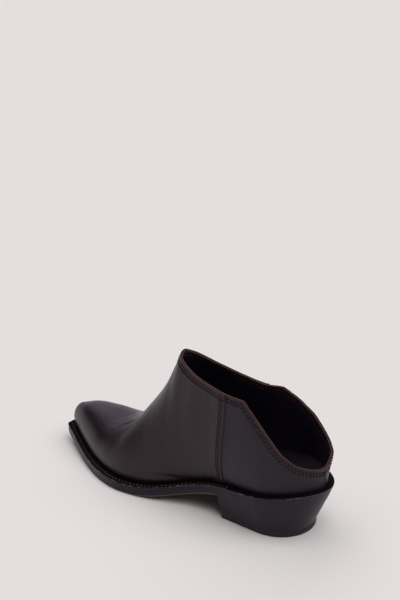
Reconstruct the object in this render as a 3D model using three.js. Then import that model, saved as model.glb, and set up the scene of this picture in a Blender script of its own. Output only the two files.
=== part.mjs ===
// A low heeled mule in the style of a riding boot: pointed snip toe, high front collar, low back rim,
// stitched welt, leather outsole and a stacked heel that tapers down to its top lift. Right shoe.
// Millimetres, X towards the toe, +Y the inner (medial) side, Z up. The origin is the middle of the
// face that the heel stands on.
import * as THREE from 'three';

// Driving sizes of the sole
const soleLength = 268;
const ballWidth = 90;
const outsoleThickness = 5;
const weltThickness = 3.5;
const footbedHeel = 12.5; // top of the footbed above the outsole, under the heel
const footbedToe = 4;
const footbedLean = { heel: -0.07, waist: 0.2 }; // outward lean of its edge per millimetre of height
const seatRise = 33.4; // underside of the outsole above the floor, at the very back
const seatSlope = 0.153; // fall of the heel seat towards the toe
const toeSpring = 9.3;
const toeCornerRadius = 3;

// Driving sizes of the heel
const heelLength = 84; // along the seat, from the back edge to the breast
const heelFootLength = 65.5; // along the floor
const heelFootWidth = 56.4;
const heelUndercut = 15.8; // how far the back of the heel's foot lies ahead of the seat's back
const heelCornerRadius = 2.5;
const liftThickness = 5;
const backTaper = 0.4; // the edge of the heel seat leans in by this much per millimetre of depth
const sideTaper = 0.17;

// Driving sizes of the upper
const upperWall = 2.2;
const weltShowToe = 6.6; // width of welt outside the upper, in the forepart
const weltShowHeel = 4.8;
const toeHeight = 26.6; // top of the toe box above the welt
const collarFront = 106.2; // top of the collar above the welt
const backHeight = 15.1; // back rim above the welt
const collarWidth = 58;
const lapRise = 1.1; // the vamp's edge stands over the quarter at the side seams
const lapLength = 11;

// Clearance between neighbouring solids
const gap = 0.3;

// Plan of the sole: station as a share of the length, half widths as shares of the ball width
const plan = [
  { at: 0.16, inner: 0.387, outer: 0.387 },
  { at: 0.24, inner: 0.366, outer: 0.378 },
  { at: 0.31, inner: 0.333, outer: 0.356 },
  { at: 0.385, inner: 0.333, outer: 0.352 },
  { at: 0.45, inner: 0.375, outer: 0.385 },
  { at: 0.53, inner: 0.452, outer: 0.447 },
  { at: 0.6, inner: 0.494, outer: 0.487 },
  { at: 0.655, inner: 0.508, outer: 0.487 },
  { at: 0.72, inner: 0.478, outer: 0.45 },
  { at: 0.79, inner: 0.404, outer: 0.388 },
  { at: 0.86, inner: 0.304, outer: 0.3 },
  { at: 0.93, inner: 0.19, outer: 0.19 },
  { at: 1, inner: 0.078, outer: 0.078 },
];
const roundEnd = { share: 0.17, power: 1.75 }; // the rounded back of the sole
const slantStep = soleLength / 50; // length over which an outline's slant is measured
const cornerLimit = 0.92; // most of the toe's half width that its rounded corner may take up

// Side view of the sole: where the heel seat ends, and where the flat tread begins and ends
const profile = { seatEnd: 0.27, treadStart: 0.62, treadEnd: 0.76 };

// Section lines of the upper run from its lower edge to its top. They are numbered by a share that
// is 0 at the toe, collarAt at the top of the collar, seamAt at the side seam and 1 at the back seam.
const collarAt = 0.5;
const seamAt = 0.83;

// Where each section line stands along the lower edge, as a share of that edge from toe to back
const feet = [
  { at: 0, foot: 0 },
  { at: 0.06, foot: 0.095 },
  { at: 0.14, foot: 0.182 },
  { at: 0.21, foot: 0.25 },
  { at: 0.26, foot: 0.3 },
  { at: 0.32, foot: 0.356 },
  { at: 0.41, foot: 0.435 },
  { at: 0.5, foot: 0.5 },
  { at: 0.55, foot: 0.527 },
  { at: 0.65, foot: 0.582 },
  { at: 0.75, foot: 0.643 },
  { at: 0.83, foot: 0.69 },
  { at: 0.87, foot: 0.721 },
  { at: 0.885, foot: 0.738 },
  { at: 0.9, foot: 0.759 },
  { at: 0.94, foot: 0.829 },
  { at: 0.965, foot: 0.88 },
  { at: 0.9825, foot: 0.923 },
  { at: 0.9925, foot: 0.957 },
  { at: 1, foot: 1 },
];

// Ridge over the toes and instep: x as a share of the sole, height as a share of the way from the
// toe's height to the collar's
const ridge = [
  { at: 0, x: 0.935, rise: 0.008 },
  { at: 0.06, x: 0.884, rise: 0.088 },
  { at: 0.14, x: 0.802, rise: 0.131 },
  { at: 0.21, x: 0.716, rise: 0.132 },
  { at: 0.26, x: 0.668, rise: 0.202 },
  { at: 0.32, x: 0.618, rise: 0.407 },
  { at: 0.41, x: 0.545, rise: 0.715 },
  { at: 0.5, x: 0.502, rise: 1 },
];

// Rim of the collar: x as a share of the sole, y as a share of half the collar's width, height as a
// share of the way from the back rim's height to the collar's
const innerRim = [
  { at: 0.5, x: 0.502, y: 0, rise: 1 },
  { at: 0.55, x: 0.489, y: 0.31, rise: 0.982 },
  { at: 0.65, x: 0.422, y: 0.672, rise: 0.863 },
  { at: 0.75, x: 0.347, y: 0.879, rise: 0.758 },
  { at: 0.83, x: 0.278, y: 0.972, rise: 0.683 },
  { at: 0.87, x: 0.237, y: 0.993, rise: 0.659 },
  { at: 0.882, x: 0.224, y: 1, rise: 0.653 },
  { at: 0.887, x: 0.218, y: 1, rise: 0.647 },
  { at: 0.893, x: 0.21, y: 1.005, rise: 0.627 },
  { at: 0.9, x: 0.202, y: 1.007, rise: 0.598 },
  { at: 0.92, x: 0.176, y: 1.008, rise: 0.507 },
  { at: 0.94, x: 0.142, y: 0.993, rise: 0.378 },
  { at: 0.965, x: 0.093, y: 0.897, rise: 0.192 },
  { at: 0.9825, x: 0.056, y: 0.655, rise: 0.083 },
  { at: 0.9925, x: 0.031, y: 0.379, rise: 0.032 },
  { at: 1, x: 0.02, y: 0, rise: 0 },
];
const outerRim = [
  { at: 0.5, x: 0.502, y: 0, rise: 1 },
  { at: 0.55, x: 0.491, y: 0.293, rise: 0.952 },
  { at: 0.65, x: 0.425, y: 0.69, rise: 0.774 },
  { at: 0.75, x: 0.349, y: 0.879, rise: 0.628 },
  { at: 0.83, x: 0.276, y: 0.966, rise: 0.536 },
  { at: 0.87, x: 0.237, y: 0.993, rise: 0.53 },
  { at: 0.882, x: 0.225, y: 1, rise: 0.526 },
  { at: 0.887, x: 0.219, y: 1.003, rise: 0.518 },
  { at: 0.893, x: 0.21, y: 1.007, rise: 0.502 },
  { at: 0.9, x: 0.201, y: 1.01, rise: 0.485 },
  { at: 0.92, x: 0.179, y: 1.017, rise: 0.446 },
  { at: 0.94, x: 0.153, y: 1.01, rise: 0.39 },
  { at: 0.965, x: 0.104, y: 0.968, rise: 0.266 },
  { at: 0.9825, x: 0.0525, y: 0.805, rise: 0.092 },
  { at: 0.9925, x: 0.0305, y: 0.53, rise: 0.034 },
  { at: 1, x: 0.02, y: 0, rise: 0 },
];

// Shape of each section line. flare is its angle at the foot, in degrees above the outward level,
// and foot and top are the pull of its two ends, as shares of its chord. turn is the direction at
// the top, from along the ridge (0) to straight across it (90). ahead and out lean the top of the
// lines that end on the rim.
const lines = [
  { at: 0, flare: 68, foot: 0.5, top: 0.42, turn: 0, ahead: 0.6, out: 0 },
  { at: 0.03, flare: 70, foot: 0.48, top: 0.4, turn: 48, ahead: 0.6, out: 0 },
  { at: 0.07, flare: 72, foot: 0.46, top: 0.38, turn: 80, ahead: 0.6, out: 0 },
  { at: 0.14, flare: 72, foot: 0.44, top: 0.36, turn: 90, ahead: 0.6, out: 0 },
  { at: 0.21, flare: 72, foot: 0.43, top: 0.34, turn: 90, ahead: 0.6, out: 0 },
  { at: 0.26, flare: 75, foot: 0.42, top: 0.31, turn: 90, ahead: 0.6, out: 0 },
  { at: 0.32, flare: 78, foot: 0.38, top: 0.258, turn: 90, ahead: 0.6, out: 0 },
  { at: 0.41, flare: 78, foot: 0.34, top: 0.187, turn: 80, ahead: 0.6, out: 0 },
  { at: 0.46, flare: 76, foot: 0.33, top: 0.192, turn: 66, ahead: 0.6, out: 0 },
  { at: 0.5, flare: 74, foot: 0.33, top: 0.19, turn: 50, ahead: 0.6, out: 0 },
  { at: 0.55, flare: 72, foot: 0.32, top: 0.232, turn: 34, ahead: 0.55, out: 0.12 },
  { at: 0.65, flare: 68, foot: 0.31, top: 0.28, turn: 14, ahead: 0.36, out: 0.22 },
  { at: 0.75, flare: 66, foot: 0.3, top: 0.32, turn: 0, ahead: 0.1, out: 0.12 },
  { at: 0.83, flare: 68, foot: 0.3, top: 0.32, turn: 0, ahead: -0.08, out: 0.07 },
  { at: 0.88, flare: 74, foot: 0.3, top: 0.33, turn: 0, ahead: -0.05, out: 0.05 },
  { at: 0.94, flare: 82, foot: 0.32, top: 0.33, turn: 0, ahead: 0, out: 0.05 },
  { at: 1, flare: 88, foot: 0.33, top: 0.33, turn: 0, ahead: -0.08, out: 0 },
];

// Columns of the upper's mesh on each side: steps up to each share
const columns = [
  { to: 0.03, steps: 5 },
  { to: 0.08, steps: 4 },
  { to: 0.46, steps: 16 },
  { to: collarAt, steps: 3 },
  { to: 0.56, steps: 4 },
  { to: 0.81, steps: 10 },
  { to: seamAt - 0.001, steps: 3 },
  { to: seamAt, steps: 1 },
  { to: 0.882, steps: 4 },
  { to: 0.893, steps: 4 },
  { to: 0.97, steps: 8 },
  { to: 1, steps: 10 },
];
const rows = 12; // steps of the upper's mesh from its lower edge to its top

const outlineSteps = { face: 2, corner: 4, side: 32, round: 16 };
const featherSteps = { face: 6, corner: 12, side: 160, round: 40 };

// Value of a table's column at a station, on a smooth curve through its rows
function along(table, column, at) {
  const last = table.length - 1;
  if (at <= table[0].at) return table[0][column];
  if (at >= table[last].at) return table[last][column];
  let i = 0;
  while (table[i + 1].at < at) i += 1;
  const width = (k) => table[k + 1].at - table[k].at;
  const slope = (k) => (table[k + 1][column] - table[k][column]) / width(k);
  const tangent = (k) => {
    if (k === 0) return slope(0);
    if (k === last) return slope(last - 1);
    return (slope(k - 1) * width(k) + slope(k) * width(k - 1)) / (width(k - 1) + width(k));
  };
  const h = width(i);
  const s = (at - table[i].at) / h;
  const rise = s * s * (3 - 2 * s);
  const start = s * (1 - s) * (1 - s) * h * tangent(i);
  const end = s * s * (s - 1) * h * tangent(i + 1);
  return table[i][column] * (1 - rise) + table[i + 1][column] * rise + start + end;
}

// A table whose curve crosses the middle plane at both its ends, with a mirrored row beyond each
function acrossMiddle(table) {
  const mirror = (row, end) => ({ ...row, at: 2 * end.at - row.at, y: -row.y });
  return [mirror(table[1], table[0]), ...table, mirror(table.at(-2), table.at(-1))];
}
const rims = { 1: acrossMiddle(innerRim), '-1': acrossMiddle(outerRim) };

function smooth(t) {
  const s = Math.min(1, Math.max(0, t));
  return s * s * (3 - 2 * s);
}

// Height of the outsole's underside above the floor
function soleLift(x) {
  const seatEnd = profile.seatEnd * soleLength;
  const treadStart = profile.treadStart * soleLength;
  const treadEnd = profile.treadEnd * soleLength;
  if (x < seatEnd) return seatRise - seatSlope * x;
  if (x < treadStart) {
    const span = treadStart - seatEnd;
    const t = (x - seatEnd) / span;
    return (seatRise - seatSlope * seatEnd) * (1 - smooth(t)) - seatSlope * span * t * (1 - t) ** 2;
  }
  if (x < treadEnd) return 0;
  return toeSpring * ((x - treadEnd) / (soleLength - treadEnd)) ** 2;
}

const soleEdge = outsoleThickness + weltThickness;
const outsoleTop = (x) => soleLift(x) + outsoleThickness;
const weltTop = (x) => soleLift(x) + soleEdge;

const soleHalf = (x, side) => ballWidth * along(plan, side > 0 ? 'inner' : 'outer', x / soleLength);

// Width of welt outside the upper, from the heel's to the forepart's
function weltShow(x) {
  return weltShowHeel + (weltShowToe - weltShowHeel) * smooth((x / soleLength - 0.12) / 0.5);
}

// Top of the footbed above the outsole: thick under the heel, thin in the forepart
function footbedRise(x) {
  return footbedHeel + (footbedToe - footbedHeel) * smooth((x / soleLength - 0.22) / 0.32);
}

// How far the edge of the heel seat has leaned in at a depth below the welt's top
const sideLean = (x, depth) => depth * sideTaper * (1 - smooth((x / soleLength - 0.22) / 0.16));
const leaningEdge = (inset, depth) =>
  soleEdgeInset((x) => inset + sideLean(x, depth), inset, inset + depth * backTaper);

// The sole's edge moved inwards: { back, front, half, corner, round, power }
function soleEdgeInset(inset, insetToe = inset, insetHeel = inset, corner = toeCornerRadius) {
  const insetAt = typeof inset === 'function' ? inset : () => inset;
  const half = (x, side) => {
    const reach = slantStep / 10;
    const slant = (soleHalf(x + reach, side) - soleHalf(x - reach, side)) / (2 * reach);
    return soleHalf(x, side) - insetAt(x) * Math.hypot(1, slant);
  };
  return {
    back: insetHeel,
    front: soleLength - insetToe,
    half,
    corner,
    round: roundEnd.share * soleLength,
    power: roundEnd.power,
  };
}

// One side of an outline with a flat front, rounded front corners and a round back, as points from
// the middle of the front to the middle of the back
function sideOutline(edge, side, steps = outlineSteps) {
  const { back, front, half, round, power } = edge;
  const points = [];
  const slant = Math.atan((half(front - slantStep, side) - half(front, side)) / slantStep);
  const sweep = Math.PI / 2 - slant;
  const bite = Math.tan(sweep / 2);
  const corner = Math.min(edge.corner, (cornerLimit * half(front, side)) / bite);
  const faceHalf = half(front, side) - corner * bite;
  for (let i = 0; i < steps.face; i += 1) {
    points.push([front, (faceHalf * i) / steps.face]);
  }
  for (let i = 0; i <= steps.corner; i += 1) {
    const turn = (sweep * i) / steps.corner;
    points.push([front - corner + corner * Math.cos(turn), faceHalf + corner * Math.sin(turn)]);
  }
  const start = points[points.length - 1][0];
  for (let i = 1; i <= steps.side; i += 1) {
    const x = start + ((round - start) * i) / steps.side;
    points.push([x, half(x, side)]);
  }
  for (let i = 1; i <= steps.round; i += 1) {
    const turn = ((Math.PI / 2) * i) / steps.round;
    const x = round - (round - back) * Math.sin(turn) ** (2 / power);
    const y = i === steps.round ? 0 : half(round, side) * Math.cos(turn) ** (2 / power);
    points.push([x, y]);
  }
  return points.map(([x, y]) => [x, y * side]);
}

// A closed ring: inner side from front to back, then the outer side from back to front
function ring(edge, height) {
  const inner = sideOutline(edge, 1);
  const outer = sideOutline(edge, -1).slice(1, -1).reverse();
  return [...inner, ...outer].map(([x, y]) => [x, y, height(x)]);
}

const mixRings = (a, b, t) => a.map((p, i) => p.map((v, k) => v + (b[i][k] - v) * t));

// Collects the points and triangles of one closed mesh
class Shell {
  constructor() {
    this.points = [];
    this.faces = [];
  }

  add(points) {
    const first = this.points.length;
    this.points.push(...points);
    return points.map((_, i) => first + i);
  }

  quad(a, b, c, d) {
    this.faces.push(a, b, c, a, c, d);
  }

  // Wall between two closed rings of the same length
  band(lower, upper) {
    const n = lower.length;
    for (let i = 0; i < n; i += 1) {
      const j = (i + 1) % n;
      this.quad(lower[i], lower[j], upper[j], upper[i]);
    }
  }

  // Cap across a ring, in strips from its one side to its other
  cap(ids, up) {
    const n = ids.length;
    const half = n / 2;
    const tri = (a, b, c) => (up ? this.faces.push(a, b, c) : this.faces.push(a, c, b));
    for (let i = 0; i < half; i += 1) {
      const a = ids[i];
      const b = ids[i + 1];
      const c = ids[(n - i - 1) % n];
      const d = ids[(n - i) % n];
      if (a !== d) tri(a, b, d);
      if (b !== c) tri(b, c, d);
    }
  }

  mesh(name, material) {
    const geometry = new THREE.BufferGeometry();
    geometry.setAttribute('position', new THREE.Float32BufferAttribute(this.points.flat(), 3));
    geometry.setIndex(this.faces);
    geometry.computeVertexNormals();
    const mesh = new THREE.Mesh(geometry, material);
    mesh.name = name;
    return mesh;
  }
}

// Solid between rings stacked from bottom to top
function stack(rings) {
  const shell = new Shell();
  const ids = rings.map((points) => shell.add(points));
  for (let i = 1; i < ids.length; i += 1) shell.band(ids[i - 1], ids[i]);
  shell.cap(ids[0], false);
  shell.cap(ids[ids.length - 1], true);
  return shell;
}

// Frame-like solid through rings that close on themselves: outside upwards, then inside downwards
function frame(rings) {
  const shell = new Shell();
  const ids = rings.map((points) => shell.add(points));
  ids.forEach((ringIds, i) => shell.band(ringIds, ids[(i + 1) % ids.length]));
  return shell;
}

const material = (color, roughness) => new THREE.MeshStandardMaterial({ color, roughness, metalness: 0 });
const leather = material('#332b31', 0.42);
const weltLeather = material('#1d1a1c', 0.5);
const soleLeather = material('#29262a', 0.45);
const heelStack = material('#2b292c', 0.4);
const liftRubber = material('#1c1b1e', 0.6);
const lining = material('#241d1f', 0.65);

function outsole() {
  const bevel = 0.6;
  return stack([
    ring(leaningEdge(bevel, soleEdge), soleLift),
    ring(leaningEdge(0, soleEdge - bevel), (x) => soleLift(x) + bevel),
    ring(leaningEdge(0, weltThickness), (x) => outsoleTop(x) - gap),
  ]).mesh('outsole', soleLeather);
}

// Inset of the upper's lower edge, of its inner face, and of the insole inside it
const featherInset = (x) => weltShow(x);
const featherInnerInset = (x) => weltShow(x) + upperWall;
const featherCorner = 5;

function welt() {
  const round = 0.7;
  const inner = soleEdgeInset(
    featherInnerInset,
    weltShowToe + upperWall,
    weltShowHeel + upperWall,
    featherCorner - upperWall,
  );
  return frame([
    ring(leaningEdge(0, weltThickness), outsoleTop),
    ring(leaningEdge(0, round), (x) => weltTop(x) - round),
    ring(leaningEdge(round, 0), weltTop),
    ring(inner, weltTop),
    ring(inner, outsoleTop),
  ]).mesh('welt', weltLeather);
}

function insole() {
  const edge = (spread) =>
    soleEdgeInset(
      (x) => featherInnerInset(x) + gap - spread(x),
      weltShowToe + upperWall + gap,
      weltShowHeel + upperWall + gap - spread(0),
      featherCorner - upperWall - gap,
    );
  const spread = (x) => {
    const toWaist = smooth((x / soleLength - 0.12) / 0.18);
    const lean = footbedLean.heel + (footbedLean.waist - footbedLean.heel) * toWaist;
    return lean * (footbedRise(x) - footbedToe);
  };
  return stack([
    ring(edge(() => 0), outsoleTop),
    ring(edge(() => 0), (x) => outsoleTop(x) + footbedToe - gap),
    ring(edge(spread), (x) => outsoleTop(x) + footbedRise(x)),
  ]).mesh('insole', lining);
}

// Outline of the heel at its seat, flush with the sole's edge, and at its foot
const heelSeatEdge = {
  ...leaningEdge(0, soleEdge),
  front: heelLength,
  corner: heelCornerRadius,
};
const heelFootEdge = {
  back: heelUndercut,
  front: heelUndercut + heelFootLength,
  half: (x) => (heelFootWidth / 2) * (1 - 0.025 * smooth((x - heelUndercut) / heelFootLength - 0.3)),
  corner: heelCornerRadius,
  round: heelUndercut + 0.45 * heelFootLength,
  power: 1.97,
};

function heelAndLift() {
  const seat = ring(heelSeatEdge, (x) => soleLift(x) - gap);
  const footTop = ring(heelFootEdge, () => liftThickness + gap);
  const levels = [0, 0.25, 0.5, 0.75, 1];
  const heel = stack(levels.map((t) => mixRings(footTop, seat, t))).mesh('heel', heelStack);
  const lift = stack([
    ring(heelFootEdge, () => 0),
    ring(heelFootEdge, () => liftThickness),
  ]).mesh('top_lift', liftRubber);
  return [heel, lift];
}

// Lower edge of the upper on one side, with the running length to look points up by
function featherSide(side) {
  const edge = soleEdgeInset(featherInset, weltShowToe, weltShowHeel, featherCorner);
  const points = sideOutline(edge, side, featherSteps);
  const lengths = [0];
  for (let i = 1; i < points.length; i += 1) {
    const [ax, ay] = points[i - 1];
    const [bx, by] = points[i];
    lengths.push(lengths[i - 1] + Math.hypot(bx - ax, by - ay));
  }
  return { points, lengths };
}
const feather = { 1: featherSide(1), '-1': featherSide(-1) };

function featherPoint(side, share) {
  const { points, lengths } = feather[side];
  const target = Math.min(1, Math.max(0, share)) * lengths[lengths.length - 1];
  let i = 0;
  while (i < points.length - 2 && lengths[i + 1] < target) i += 1;
  const t = (target - lengths[i]) / (lengths[i + 1] - lengths[i]);
  return points[i].map((v, k) => v + (points[i + 1][k] - v) * t);
}

// Level direction out of the upper at its lower edge
function featherOut(side, share) {
  if (share <= 0) return [1, 0];
  if (share >= 1) return [-1, 0];
  const step = 0.006;
  const [ax, ay] = featherPoint(side, share - step);
  const [bx, by] = featherPoint(side, share + step);
  const length = Math.hypot(bx - ax, by - ay);
  return [(side * (ay - by)) / -length, (side * (bx - ax)) / -length];
}

function ridgePoint(at) {
  const x = soleLength * along(ridge, 'x', at);
  const height = toeHeight + (collarFront - toeHeight) * along(ridge, 'rise', at);
  return new THREE.Vector3(x, 0, weltTop(x) + height);
}

function rimPoint(side, at) {
  const table = rims[side];
  const x = soleLength * along(table, 'x', at);
  const height = backHeight + (collarFront - backHeight) * along(table, 'rise', at);
  return new THREE.Vector3(x, (side * along(table, 'y', at) * collarWidth) / 2, weltTop(x) + height);
}

// Direction in which a section line leaves the upper's top edge
function topDirection(side, at) {
  const step = 0.004;
  const down = new THREE.Vector3();
  const across = new THREE.Vector3(0, side, 0);
  if (at < collarAt) {
    down.subVectors(ridgePoint(Math.max(0, at - step)), ridgePoint(at + step)).normalize();
  } else {
    down.set(along(lines, 'ahead', at), side * along(lines, 'out', at), -1).normalize();
    across.subVectors(rimPoint(side, at + step), rimPoint(side, at - step)).setZ(0).normalize();
  }
  const turn = THREE.MathUtils.degToRad(along(lines, 'turn', at));
  return down.multiplyScalar(Math.cos(turn)).addScaledVector(across, Math.sin(turn)).normalize();
}

// One section line of the upper's outside, as a curve from its foot to its top
function sectionLine(side, at) {
  const share = along(feet, 'foot', at);
  const [x, y] = featherPoint(side, share);
  const [outX, outY] = featherOut(side, share);
  const foot = new THREE.Vector3(x, y, weltTop(x) + gap);
  const top = at < collarAt ? ridgePoint(at) : rimPoint(side, at);
  const chord = foot.distanceTo(top);
  const flare = THREE.MathUtils.degToRad(along(lines, 'flare', at));
  const rise = new THREE.Vector3(outX * Math.cos(flare), outY * Math.cos(flare), Math.sin(flare));
  const lower = foot.clone().addScaledVector(rise, along(lines, 'foot', at) * chord);
  const upper = top.clone().addScaledVector(topDirection(side, at), along(lines, 'top', at) * chord);
  return new THREE.CubicBezierCurve3(foot, lower, upper, top);
}

function columnShares() {
  const shares = [0];
  let from = 0;
  for (const { to, steps } of columns) {
    for (let i = 1; i <= steps; i += 1) shares.push(from + ((to - from) * i) / steps);
    from = to;
  }
  return shares;
}

// How far the vamp's edge stands out over the quarter, ahead of the side seam
function lap(at, share) {
  if (at >= seamAt) return 0;
  const ahead = (along(feet, 'foot', seamAt) - share) * feather[1].lengths.at(-1);
  return lapRise * (1 - smooth(ahead / lapLength));
}

// The upper's outside as a grid that both sides share: columns run around, rows run up
function upperGrid() {
  const shares = columnShares();
  const points = [];
  const lapOf = [];
  const index = { 1: [], '-1': [] };
  const push = (point, raised) => {
    points.push(point);
    lapOf.push(raised);
    return points.length - 1;
  };
  for (const side of [1, -1]) {
    shares.forEach((at, c) => {
      const onMiddle = c === 0 || c === shares.length - 1;
      const curve = sectionLine(side, at);
      const raised = lap(at, along(feet, 'foot', at));
      const column = [];
      for (let r = 0; r <= rows; r += 1) {
        const shared = side < 0 && (onMiddle || (r === rows && at <= collarAt));
        column.push(shared ? index[1][c][r] : push(curve.getPoint(r / rows), raised));
      }
      index[side].push(column);
    });
  }
  return { shares, points, lapOf, index };
}

function gridNormals(points, faces) {
  const normals = points.map(() => new THREE.Vector3());
  const a = new THREE.Vector3();
  const b = new THREE.Vector3();
  for (let i = 0; i < faces.length; i += 3) {
    const corner = faces.slice(i, i + 3);
    a.subVectors(points[corner[1]], points[corner[0]]);
    b.subVectors(points[corner[2]], points[corner[0]]);
    a.cross(b);
    corner.forEach((id) => normals[id].add(a));
  }
  return normals.map((n) => n.normalize());
}

function upper() {
  const { shares, points, lapOf, index } = upperGrid();
  const outside = new Shell();
  for (const side of [1, -1]) {
    const grid = index[side];
    for (let c = 0; c + 1 < grid.length; c += 1) {
      for (let r = 0; r < rows; r += 1) {
        const quad = [grid[c][r], grid[c + 1][r], grid[c + 1][r + 1], grid[c][r + 1]];
        if (side < 0) quad.reverse();
        outside.quad(...quad);
      }
    }
  }
  const normals = gridNormals(points, outside.faces);
  const lowerEdge = new Set([1, -1].flatMap((side) => index[side].map((column) => column[0])));
  const outer = points.map((p, i) => p.clone().addScaledVector(normals[i], lapOf[i]));
  const inner = points.map((p, i) => p.clone().addScaledVector(normals[i], -upperWall));
  for (const id of lowerEdge) {
    for (const set of [outer, inner]) set[id].setZ(weltTop(set[id].x) + gap);
  }

  const shell = new Shell();
  shell.add(outer.map((p) => p.toArray()));
  const shift = shell.add(inner.map((p) => p.toArray()))[0];
  shell.faces.push(...outside.faces);
  for (let i = 0; i < outside.faces.length; i += 3) {
    const [a, b, c] = outside.faces.slice(i, i + 3);
    shell.faces.push(a + shift, c + shift, b + shift);
  }
  const edgeBand = (ids) => {
    for (let i = 0; i + 1 < ids.length; i += 1) {
      shell.quad(ids[i], ids[i] + shift, ids[i + 1] + shift, ids[i + 1]);
    }
  };
  const collar = shares.findIndex((at) => at >= collarAt);
  for (const side of [1, -1]) {
    const low = index[side].map((column) => column[0]);
    const high = index[side].slice(collar).map((column) => column[rows]);
    edgeBand(side > 0 ? low : low.reverse());
    edgeBand(side > 0 ? high.reverse() : high);
  }
  return shell.mesh('upper', leather);
}

const shoe = new THREE.Group();
shoe.add(outsole(), welt(), insole(), ...heelAndLift(), upper());
shoe.position.x = -(heelUndercut + heelFootLength / 2);

const assembly = new THREE.Group();
assembly.add(shoe);

export default assembly;
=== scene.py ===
import math

import bmesh
import bpy
import numpy as np
from mathutils import Matrix


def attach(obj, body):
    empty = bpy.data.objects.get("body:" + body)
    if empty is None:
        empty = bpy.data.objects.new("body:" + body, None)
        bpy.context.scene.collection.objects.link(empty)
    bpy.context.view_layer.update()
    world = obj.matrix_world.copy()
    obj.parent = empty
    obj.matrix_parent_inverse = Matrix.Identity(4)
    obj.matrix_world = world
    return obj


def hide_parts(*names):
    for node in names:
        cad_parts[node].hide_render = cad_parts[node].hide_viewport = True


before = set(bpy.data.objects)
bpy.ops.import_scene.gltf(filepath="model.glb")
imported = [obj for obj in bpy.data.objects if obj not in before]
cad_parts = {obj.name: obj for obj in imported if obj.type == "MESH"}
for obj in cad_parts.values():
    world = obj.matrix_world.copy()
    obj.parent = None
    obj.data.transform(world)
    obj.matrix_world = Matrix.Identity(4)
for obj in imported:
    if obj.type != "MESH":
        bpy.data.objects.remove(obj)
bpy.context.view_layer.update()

MM = 0.001
TINY = 1e-9

# Sizes, as in the part
SOLE_LENGTH = 268.0
BALL_WIDTH = 90.0
OUTSOLE = 5.0
WELT = 3.5
SOLE_EDGE = OUTSOLE + WELT
FOOTBED_HEEL = 12.5
FOOTBED_TOE = 4.0
LEAN_HEEL = -0.07
LEAN_WAIST = 0.2
SEAT_RISE = 33.4
SEAT_SLOPE = 0.153
TOE_SPRING = 9.3
TOE_CORNER = 3.0
HEEL_LENGTH = 84.0
HEEL_FOOT_LENGTH = 65.5
HEEL_FOOT_WIDTH = 56.4
HEEL_UNDERCUT = 15.8
HEEL_CORNER = 2.5
LIFT = 5.0
BACK_TAPER = 0.4
SIDE_TAPER = 0.17
WALL = 2.2
SHOW_TOE = 6.6
SHOW_HEEL = 4.8
TOE_HEIGHT = 26.6
COLLAR_FRONT = 106.2
BACK_HEIGHT = 15.1
COLLAR_WIDTH = 58.0
LAP_RISE = 1.1
LAP_LENGTH = 11.0
ORIGIN_X = HEEL_UNDERCUT + HEEL_FOOT_LENGTH / 2


def table(names, rows):
    columns = np.array(rows, float).T
    return dict(zip(names.split(), columns))


# The sole's plan: half widths, as shares of the ball's width, at shares of the length
PLAN = table("at inner outer", [
    (0.16, 0.387, 0.387), (0.24, 0.366, 0.378), (0.31, 0.333, 0.356), (0.385, 0.333, 0.352),
    (0.45, 0.375, 0.385), (0.53, 0.452, 0.447), (0.6, 0.494, 0.487), (0.655, 0.508, 0.487),
    (0.72, 0.478, 0.45), (0.79, 0.404, 0.388), (0.86, 0.304, 0.3), (0.93, 0.19, 0.19),
    (1, 0.078, 0.078),
])
ROUND_SHARE = 0.17
ROUND_POWER = 1.75
SLANT_STEP = SOLE_LENGTH / 50
CORNER_LIMIT = 0.92
SEAT_END = 0.27 * SOLE_LENGTH
TREAD_START = 0.62 * SOLE_LENGTH
TREAD_END = 0.76 * SOLE_LENGTH
COLLAR_AT = 0.5
SEAM_AT = 0.83

# Where the sizes above change along the sole: start and length, as shares of its length
SHOW_FADE = (0.12, 0.5)
LEAN_FADE = (0.22, 0.16)
FOOTBED_FADE = (0.22, 0.32)
WAIST_FADE = (0.12, 0.18)

# The upper runs from 0 at the toe to COLLAR_AT at the collar's front and 1 at the back.
# Where each station's section starts along the feather line, and the line that it rises to:
# first the ridge, then the rim, with x, y and rise as shares of the sizes above
FEET = table("at foot", [
    (0, 0), (0.06, 0.095), (0.14, 0.182), (0.21, 0.25), (0.26, 0.3), (0.32, 0.356), (0.41, 0.435),
    (0.5, 0.5), (0.55, 0.527), (0.65, 0.582), (0.75, 0.643), (0.83, 0.69), (0.87, 0.721),
    (0.885, 0.738), (0.9, 0.759), (0.94, 0.829), (0.965, 0.88), (0.9825, 0.923),
    (0.9925, 0.957), (1, 1),
])
RIDGE = table("at x rise", [
    (0, 0.935, 0.008), (0.06, 0.884, 0.088), (0.14, 0.802, 0.131), (0.21, 0.716, 0.132),
    (0.26, 0.668, 0.202), (0.32, 0.618, 0.407), (0.41, 0.545, 0.715), (0.5, 0.502, 1),
])
INNER_RIM = [
    (0.5, 0.502, 0, 1), (0.55, 0.489, 0.31, 0.982), (0.65, 0.422, 0.672, 0.863),
    (0.75, 0.347, 0.879, 0.758), (0.83, 0.278, 0.972, 0.683), (0.87, 0.237, 0.993, 0.659),
    (0.882, 0.224, 1, 0.653), (0.887, 0.218, 1, 0.647), (0.893, 0.21, 1.005, 0.627),
    (0.9, 0.202, 1.007, 0.598), (0.92, 0.176, 1.008, 0.507), (0.94, 0.142, 0.993, 0.378),
    (0.965, 0.093, 0.897, 0.192), (0.9825, 0.056, 0.655, 0.083), (0.9925, 0.031, 0.379, 0.032),
    (1, 0.02, 0, 0),
]
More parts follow.
